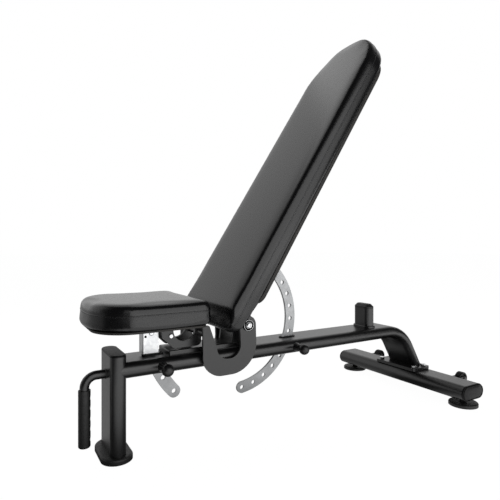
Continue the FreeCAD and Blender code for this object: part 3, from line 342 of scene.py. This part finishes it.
finishes = {
    "powder": satin_powder_coat(),
    "vinyl": embossed_vinyl(),
    "rubber": moulded_rubber(),
    "nylon": moulded_nylon(),
    "phenolic": polished_phenolic(),
    "stainless": brushed_stainless(),
    "zinc": bright_zinc(),
    "graphite": graphite_nylon(),
    "galvanised": galvanised_plate(),
    "birch": black_stained_birch(),
    "thread": spun_polyester_thread(),
    "piping": piping_painted_highlight(),
}

FINISH_OF_SLOT = {
    "black_powder_coat": "powder",
    "black_plastic": "nylon",
    "knob_plastic": "phenolic",
    "black_rubber": "rubber",
    "steel": "stainless",
    "bright_bolts": "zinc",
    "plywood": "birch",
    "upholstery": "vinyl",
}

FINISH_OF_NODE = {
    "hinge_bush_near": "graphite",
    "hinge_bush_far": "graphite",
    "seat_arc_bracket": "galvanised",
}


def dress(piece, finish):
    """Give a piece one finish by name."""
    piece.data.materials.clear()
    piece.data.materials.append(finishes[finish])


def dress_frame():
    """Every carried-over piece takes the finish of its material slot."""
    for part in frame["record"]["subparts"]:
        dress(nodes[part["node"]], FINISH_OF_NODE.get(part["node"], FINISH_OF_SLOT[part["material_slot"]]))


# ---- Meshes ---------------------------------------------------------------------------------

def new_piece(name, mesh, body, finish):
    """Add one piece of the looks, riding a body."""
    piece = bpy.data.objects.new(name, mesh)
    scene.collection.objects.link(piece)
    dress(piece, finish)
    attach(piece, body)


def baked(piece):
    """Plain mesh of an object with its modifiers applied."""
    graph = bpy.context.evaluated_depsgraph_get()
    return bpy.data.meshes.new_from_object(piece.evaluated_get(graph))


def smooth(mesh):
    """Shade a mesh smooth."""
    for face in mesh.polygons:
        face.use_smooth = True


def merged_copy(node):
    """Welded copy of a CAD node's mesh."""
    work = bmesh.new()
    work.from_mesh(nodes[node].data)
    bmesh.ops.remove_doubles(work, verts=work.verts, dist=0.01 * MM)
    mesh = bpy.data.meshes.new(node + "_welded")
    work.to_mesh(mesh)
    work.free()
    return mesh


# ---- Cushions -------------------------------------------------------------------------------

GLUED_DEPTH = 3 * MM
CLOTH_FRAMES = 20
CLOTH_PRESSURE = 4.0
CLOTH_STIFFNESS = 15
TRAVEL_EVENING = 14


def stuffed_cushion(name, node, body, out, voxel, shrink, swell, end):
    """Foam cushion under tight vinyl: the CAD form, slightly smaller, inflated until it fills it.

    The underside, away from out, is glued to the board. A point swells by swell at most, and end says which end of
    the outline is rounded: its direction, where it starts and by how much.
    """
    cushion = bpy.data.objects.new(name, merged_copy(node))
    scene.collection.objects.link(cushion)
    remesh = cushion.modifiers.new("even_skin", "REMESH")
    remesh.mode = "VOXEL"
    remesh.voxel_size = voxel
    tuck = cushion.modifiers.new("tuck_in", "DISPLACE")
    tuck.strength = -shrink
    tuck.mid_level = 0
    relax = cushion.modifiers.new("relax", "SMOOTH")
    relax.factor = 0.5
    relax.iterations = 4
    mesh = baked(cushion)
    cushion.modifiers.clear()
    cushion.data = mesh
    base = min(vertex.co.dot(out) for vertex in mesh.vertices)
    glued = cushion.vertex_groups.new(name="glued_to_board")
    glued.add([v.index for v in mesh.vertices if v.co.dot(out) < base + GLUED_DEPTH], 1.0, "REPLACE")
    inflate(cushion, swell)
    rounded_end(cushion.data, *end)
    fill = cushion.modifiers.new("fine_skin", "SUBSURF")
    fill.levels = fill.render_levels = 1
    fine = baked(cushion)
    cushion.modifiers.clear()
    cushion.vertex_groups.clear()
    cushion.data = fine
    smooth(fine)
    dress(cushion, "vinyl")
    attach(cushion, body)
    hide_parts(node)
    return cushion


def inflate(cushion, swell):
    """Cloth under pressure; the travel is evened out, so tight vinyl shows no creases, and capped."""
    start = [vertex.co.copy() for vertex in cushion.data.vertices]
    cloth = cushion.modifiers.new("pressure", "CLOTH")
    cloth.settings.quality = 4
    cloth.settings.use_pressure = True
    cloth.settings.uniform_pressure_force = CLOTH_PRESSURE
    cloth.settings.tension_stiffness = CLOTH_STIFFNESS
    cloth.settings.compression_stiffness = CLOTH_STIFFNESS
    cloth.settings.vertex_group_mass = "glued_to_board"
    cloth.settings.effector_weights.gravity = 0
    cloth.collision_settings.use_collision = False
    cloth.point_cache.frame_start = 1
    cloth.point_cache.frame_end = CLOTH_FRAMES
    for number in range(1, CLOTH_FRAMES + 1):
        scene.frame_set(number)
    swollen = baked(cushion)
    cushion.modifiers.clear()
    moves = [vertex.co - before for vertex, before in zip(swollen.vertices, start)]
    travel = evened(swollen, moves, TRAVEL_EVENING)
    for vertex, before, move in zip(swollen.vertices, start, travel):
        vertex.co = before + move * min(1.0, swell / max(move.length, 1e-9))
    cushion.data = swollen
    scene.frame_set(1)


END_SECTORS = 36
END_EASE = 0.35


def rounded_end(mesh, along, start, share):
    """Draw a cushion's outline beyond start more like half an ellipse; share says how much of the way.

    The outline's reach is found in sectors round the middle of the end. Points near start move gently.
    """
    places = [vertex.co.dot(along) for vertex in mesh.vertices]
    half = max(abs(vertex.co.y) for vertex in mesh.vertices)
    height = max(places) - start
    beyond = []
    for vertex, place in zip(mesh.vertices, places):
        x, y = vertex.co.y / half, (place - start) / height
        if y > 0:
            beyond.append((vertex, math.hypot(x, y), math.atan2(y, x) / math.pi * END_SECTORS, x, y))
    reach = [0.01] * (END_SECTORS + 1)
    for _, radius, turn, _, _ in beyond:
        reach[round(turn)] = max(reach[round(turn)], radius)
    for _ in range(2):
        inner = [(a + 2 * b + c) / 4 for a, b, c in zip(reach, reach[1:], reach[2:])]
        reach = [reach[0], *inner, reach[-1]]
    for vertex, radius, turn, x, y in beyond:
        low = min(int(turn), END_SECTORS - 1)
        edge = reach[low] + (reach[low + 1] - reach[low]) * (turn - low)
        ease = min(1.0, y / END_EASE)
        grow = share * (1 / edge - 1) * min(radius / edge, 1.0) * ease * ease * (3 - 2 * ease)
        vertex.co += ACROSS * (x * grow * half) + along * (y * grow * height)


def evened(mesh, moves, rounds):
    """Vectors on a mesh's vertices, averaged with their neighbours a number of times."""
    near = [[] for _ in mesh.vertices]
    for edge in mesh.edges:
        a, b = edge.vertices
        near[a].append(b)
        near[b].append(a)
    for _ in range(rounds):
        moves = [(move + sum((moves[other] for other in others), Vector())) / (len(others) + 1)
                 for move, others in zip(moves, near)]
    return moves


def belt_line(mesh, through, normal):
    """Longest closed run of points where a plane cuts a mesh, in order."""
    work = bmesh.new()
    work.from_mesh(mesh)
    cut = bmesh.ops.bisect_plane(work, geom=work.verts[:] + work.edges[:] + work.faces[:], plane_co=through,
                                 plane_no=normal)
    left = [item for item in cut["geom_cut"] if isinstance(item, bmesh.types.BMEdge)]
    edges, runs = set(left), []
    for start in left:
        if start not in edges:
            continue
        points, at = [], start.verts[0]
        step = start
        while step is not None:
            edges.discard(step)
            at = step.other_vert(at)
            points.append(at.co.copy())
            step = next((edge for edge in at.link_edges if edge in edges), None)
        runs.append(points)
    work.free()
    return max(runs, key=lambda run: sum((b - a).length for a, b in zip(run, run[1:])))


def even_points(points, spacing):
    """The closed run again with equal steps."""
    lengths = [0.0]
    for a, b in zip(points, points[1:] + points[:1]):
        lengths.append(lengths[-1] + (b - a).length)
    count = max(8, round(lengths[-1] / spacing))
    loop = points + points[:1]
    out, index = [], 0
    for step in range(count):
        target = lengths[-1] * step / count
        while lengths[index + 1] < target:
            index += 1
        share = (target - lengths[index]) / max(lengths[index + 1] - lengths[index], 1e-9)
        out.append(loop[index].lerp(loop[index + 1], share))
    return out


def ring_mesh(name, points, radius):
    """Closed round cord through points."""
    curve = bpy.data.curves.new(name, "CURVE")
    curve.dimensions = "3D"
    curve.bevel_depth = radius
    curve.bevel_resolution = 2
    spline = curve.splines.new("POLY")
    spline.points.add(len(points) - 1)
    for point, place in zip(spline.points, points):
        point.co = (*place, 1.0)
    spline.use_cyclic_u = True
    carrier = bpy.data.objects.new(name, curve)
    scene.collection.objects.link(carrier)
    mesh = baked(carrier)
    bpy.data.objects.remove(carrier)
    smooth(mesh)
    return mesh


WELT_RADIUS = 0.9 * MM
STITCH_BESIDE = 2.6 * MM


def sew_seam(cushion, name, body, through, normal, cord):
    """Welt where the front cover meets the side band, with a row of stitches beside it."""
    points = even_points(belt_line(cushion.data, through, normal), 5 * MM)
    new_piece(name + "_welt", ring_mesh(name + "_welt", points, WELT_RADIUS), body, cord)
    row = even_points(belt_line(cushion.data, through - normal * STITCH_BESIDE, normal), 2 * MM)
    laid_row(name + "_stitches", row, True, BEADS, {
        "Pitch": 4.2 * MM, "Length": 3.4 * MM, "Thickness": 0.9 * MM, "Material": finishes["thread"]},
        body)


def row_tree(name, shape):
    """Geometry nodes: one small shape laid again and again along a mesh path."""
    tree = bpy.data.node_groups.new(name, "GeometryNodeTree")
    face = tree.interface
    face.new_socket("Path", in_out="INPUT", socket_type="NodeSocketGeometry")
    for socket in ("Pitch", "Length", "Thickness"):
        face.new_socket(socket, in_out="INPUT", socket_type="NodeSocketFloat")
    face.new_socket("Material", in_out="INPUT", socket_type="NodeSocketMaterial")
    face.new_socket("Row", in_out="OUTPUT", socket_type="NodeSocketGeometry")
    given = add_node(tree, "NodeGroupInput").outputs
    curve = add_node(tree, "GeometryNodeMeshToCurve", {"Mesh": given["Path"]})
    spaced = add_node(tree, "GeometryNodeCurveToPoints", {"Curve": curve.outputs[0], "Length": given["Pitch"]},
                      mode="LENGTH").outputs
    if shape == "bead":
        one = add_node(tree, "GeometryNodeMeshIcoSphere", {"Radius": 0.5, "Subdivisions": 2})
    else:
        one = add_node(tree, "GeometryNodeMeshCube", {"Size": (1, 1, 1)})
    size = add_node(tree, "ShaderNodeCombineXYZ", {"X": given["Thickness"], "Y": given["Thickness"],
                                                   "Z": given["Length"]})
    laid = add_node(tree, "GeometryNodeInstanceOnPoints", {"Points": spaced["Points"],
                                                           "Instance": one.outputs["Mesh"],
                                                           "Rotation": spaced["Rotation"],
                                                           "Scale": size.outputs[0]})
    real = add_node(tree, "GeometryNodeRealizeInstances", {"Geometry": laid.outputs[0]})
    coloured = add_node(tree, "GeometryNodeSetMaterial", {"Geometry": real.outputs[0], "Material": given["Material"]})
    add_node(tree, "NodeGroupOutput", {0: coloured.outputs[0]})
    return tree


BEADS = row_tree("row_of_beads", "bead")
STAPLES = row_tree("row_of_staples", "staple")


def laid_row(name, points, closed, tree, values, body):
    """Piece made of one shape repeated along points."""
    path = bpy.data.meshes.new(name)
    count = len(points)
    path.from_pydata(points, [(i, (i + 1) % count) for i in range(count if closed else count - 1)], [])
    piece = bpy.data.objects.new(name, path)
    scene.collection.objects.link(piece)
    modifier = piece.modifiers.new("row", "NODES")
    modifier.node_group = tree
    for item in tree.interface.items_tree:
        if item.item_type == "SOCKET" and item.in_out == "INPUT" and item.name in values:
            modifier[item.identifier] = values[item.name]
    piece.data = baked(piece)
    piece.modifiers.clear()
    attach(piece, body)


SEAT_SEAM_SHARE = 0.40
BACK_SEAM_SHARE = 0.45
SEAT_NOSE_LENGTH = 0.115
BACK_CROWN_START = 0.915


def make_cushions():
    """Both cushions with their seams, which lie a share of the thickness below the face."""
    low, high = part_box("seat_pad")
    seat = stuffed_cushion("seat_cushion", "seat_pad", "seat", UP, voxel=6 * MM, shrink=2.0 * MM, swell=3.0 * MM,
                           end=(Vector((-1, 0, 0)), -low[0] - SEAT_NOSE_LENGTH, 0.7))
    seam = Vector((0, 0, high[2] - SEAT_SEAM_SHARE * (high[2] - low[2])))
    sew_seam(seat, "seat_seam", "seat", seam, UP, "vinyl")
    back = stuffed_cushion("back_cushion", "back_pad", "backrest", OUT_OF_BACK, voxel=7.2 * MM, shrink=1.5 * MM,
                           swell=2.5 * MM, end=(ALONG_BACK, PIVOT.dot(ALONG_BACK) + BACK_CROWN_START, 1.0))
    heights = [(Vector(vertex.co) - PIVOT).dot(OUT_OF_BACK) for vertex in nodes["back_pad"].data.vertices]
    depth = BACK_SEAM_SHARE * (max(heights) - min(heights))
    seam = PIVOT + OUT_OF_BACK * (max(heights) - depth)
    # The back seam's cord is a lighter grey, which is a painted highlight along the seam
    sew_seam(back, "back_seam", "backrest", seam, OUT_OF_BACK, "piping")


# ---- Small hardware -------------------------------------------------------------------------

def circle_points(centre, across, up, radius, count=48):
    """Points round a circle in the plane of two unit directions."""
    turns = [math.tau * i / count for i in range(count)]
    return [centre + (across * math.cos(turn) + up * math.sin(turn)) * radius for turn in turns]


RING_SUNK = 0.3 * MM
RING_INSET = 1.6 * MM
RING_WIRE_RADIUS = 0.7 * MM


def retaining_rings():
    """Bright spring ring let into the face of each pivot bush."""
    for side, sign in (("near", -1), ("far", 1)):
        node = "hinge_bush_" + side
        low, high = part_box(node)
        face = (low if sign < 0 else high)[1]
        centre = Vector(((low[0] + high[0]) / 2, face - sign * RING_SUNK, (low[2] + high[2]) / 2))
        radius = (high[0] - low[0]) / 2 - RING_INSET
        ring = circle_points(centre, Vector((1, 0, 0)), UP, radius)
        new_piece("retaining_ring_" + side, ring_mesh("retaining_ring_" + side, ring, RING_WIRE_RADIUS), BODY_OF[node],
                  "zinc")


def inset_run(points, normal, distance):
    """A closed run moved towards its own middle, in its plane."""
    middle = sum(points, Vector()) / len(points)
    moved = []
    for before, at, after in zip(points[-1:] + points[:-1], points, points[1:] + points[:1]):
        inward = normal.cross(after - before).normalized()
        if inward.dot(middle - at) < 0:
            inward.negate()
        moved.append(at + inward * distance)
    return moved


STAPLES_FROM_EDGE = 8 * MM
STAPLES_PROUD = 0.1 * MM


def staple_cover(node, out):
    """Crowns of the staples that hold the vinyl round the back of a board."""
    mesh = merged_copy(node)
    levels = [vertex.co.dot(out) for vertex in mesh.vertices]
    low, high = min(levels), max(levels)
    run = even_points(belt_line(mesh, out * (low + high) / 2, out), 6 * MM)
    run = inset_run(run, out, STAPLES_FROM_EDGE)
    run = [point - out * (point.dot(out) - low + STAPLES_PROUD) for point in run]
    laid_row(node + "_staples", run, True, STAPLES, {
        "Pitch": 27 * MM, "Length": 11 * MM, "Thickness": 0.9 * MM, "Material": finishes["zinc"]},
        BODY_OF[node])


def weld(name, points, closed):
    """Fillet weld laid as overlapping pools, then powder coated with the frame."""
    laid_row(name, points, closed, BEADS, {
        "Pitch": 1.7 * MM, "Length": 3.6 * MM, "Thickness": 4.0 * MM, "Material": finishes["powder"]},
        "frame")


def straight_weld(name, node, edge, short):
    """Weld along the foot of a node's near (0) or far (1) side, stopped short of both its ends."""
    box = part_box(node)
    y, z = box[edge][1], box[0][2]
    weld(name, [Vector((box[0][0] + short, y, z)), Vector((box[1][0] - short, y, z))], False)


def frame_welds():
    """Welds of the handle on the post, the hinge base on the beam and the uprights on the hinge base."""
    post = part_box("front_post")
    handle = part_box("handle_tube")
    tube = (handle[1][1] - handle[0][1]) / 2
    ring = Vector((post[0][0], 0, handle[1][2] - tube))
    weld("handle_weld", circle_points(ring, ACROSS, UP, tube), True)
    for edge, side in enumerate(("near", "far")):
        straight_weld("base_weld_" + side, "hinge_base", edge, 6 * MM)
        straight_weld("upright_weld_" + side, "upright_" + side, edge, 4 * MM)


PLUG_OUTLINE_DEPTH = 2.5 * MM
RIM_INSET = 3.2 * MM
RIM_RADIUS = 1.4 * MM
DOME_INSET = 5.5 * MM
DOME_HEIGHT = 2.6 * MM
DOME_RINGS = (1.0, 0.94, 0.82, 0.62, 0.36)


def domed_plug_faces():
    """Each end plug has a rolled rim and a slightly domed middle. The rim's dull graphite black is painted shade where
    the plug meets the tube's end.
    """
    for side, sign in (("near", -1), ("far", 1)):
        node = "end_plug_" + side
        low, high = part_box(node)
        face = (low if sign < 0 else high)[1]
        section = Vector((0, face - sign * PLUG_OUTLINE_DEPTH, 0))
        run = even_points(belt_line(merged_copy(node), section, ACROSS), 5 * MM)
        run = [Vector((point.x, face, point.z)) for point in run]
        # The rim cord's sooty black is painted shade round the plug's edge, and its shape is a rolled rim
        rim = inset_run(run, ACROSS, RIM_INSET)
        new_piece("plug_shade_rim_" + side, ring_mesh("plug_shade_rim_" + side, rim, RIM_RADIUS), BODY_OF[node], "graphite")
        edge = inset_run(run, ACROSS, DOME_INSET)
        middle = sum(edge, Vector()) / len(edge)
        points = [middle + (at - middle) * share + ACROSS * sign * DOME_HEIGHT * (1 - share ** 4)
                  for share in DOME_RINGS for at in edge]
        count = len(edge)
        faces = [(k * count + i, k * count + (i + 1) % count, (k + 1) * count + (i + 1) % count, (k + 1) * count + i)
                 for k in range(len(DOME_RINGS) - 1) for i in range(count)]
        points.append(middle + ACROSS * sign * DOME_HEIGHT)
        last = (len(DOME_RINGS) - 1) * count
        faces += [(last + i, last + (i + 1) % count, len(points) - 1) for i in range(count)]
        mesh = bpy.data.meshes.new("plug_dome_" + side)
        mesh.from_pydata(points, [], faces)
        work = bmesh.new()
        work.from_mesh(mesh)
        bmesh.ops.recalc_face_normals(work, faces=work.faces)
        if sum((item.normal * item.calc_area() for item in work.faces), Vector()).y * sign < 0:
            bmesh.ops.reverse_faces(work, faces=work.faces)
        work.to_mesh(mesh)
        work.free()
        smooth(mesh)
        new_piece("plug_dome_" + side, mesh, BODY_OF[node], "nylon")


SCREW_RADIUS = 3.4 * MM
SCREW_FLATNESS = 0.6
SCREW_FROM_FRONT = 7.5 * MM
SCREW_BELOW_TOP = 36 * MM
SCREW_SECTORS = 24
SCREW_RINGS = 11


def bracket_screws():
    """Black button screw on each cheek of the folded bracket that holds the seat's arc."""
    low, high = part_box("seat_arc_bracket")
    count = SCREW_SECTORS
    turns = [math.tau * i / count for i in range(count)]
    levels = [math.pi * k / (SCREW_RINGS + 1) for k in range(1, SCREW_RINGS + 1)]
    ball = [(math.sin(level) * math.cos(turn), math.sin(level) * math.sin(turn), math.cos(level))
            for level in levels for turn in turns] + [(0, 0, 1), (0, 0, -1)]
    top, bottom, last = len(ball) - 2, len(ball) - 1, (SCREW_RINGS - 1) * count
    faces = [(k + i, k + count + i, k + count + (i + 1) % count, k + (i + 1) % count)
             for k in range(0, last, count) for i in range(count)]
    faces += [(top, i, (i + 1) % count) for i in range(count)]
    faces += [(bottom, last + (i + 1) % count, last + i) for i in range(count)]
    for side, sign in (("near", -1), ("far", 1)):
        face = (low if sign < 0 else high)[1]
        centre = Vector((low[0] + SCREW_FROM_FRONT, face, high[2] - SCREW_BELOW_TOP))
        mesh = bpy.data.meshes.new("bracket_screw_" + side)
        mesh.from_pydata([centre + Vector((x, y * SCREW_FLATNESS, z)) * SCREW_RADIUS for x, y, z in ball], [], faces)
        smooth(mesh)
        new_piece("bracket_screw_" + side, mesh, "seat", "graphite")


# ---- Scene ----------------------------------------------------------------------------------

set_camera()
set_floor()
set_world()
set_lamp("front_screen", (1.3, -3.5, 1.6), (1.3, 0, 1.6), (5.6, 3.1), 110)
set_lamp("overhead_softbox", (0.4, 1.2, 3.0), (0.5, 0, 0.3), (2.4, 1.2), 7)
dress_frame()
make_cushions()
retaining_rings()
staple_cover("seat_board", UP)
staple_cover("back_board", OUT_OF_BACK)
frame_welds()
domed_plug_faces()
bracket_screws()

scene.view_settings.view_transform = "Standard"
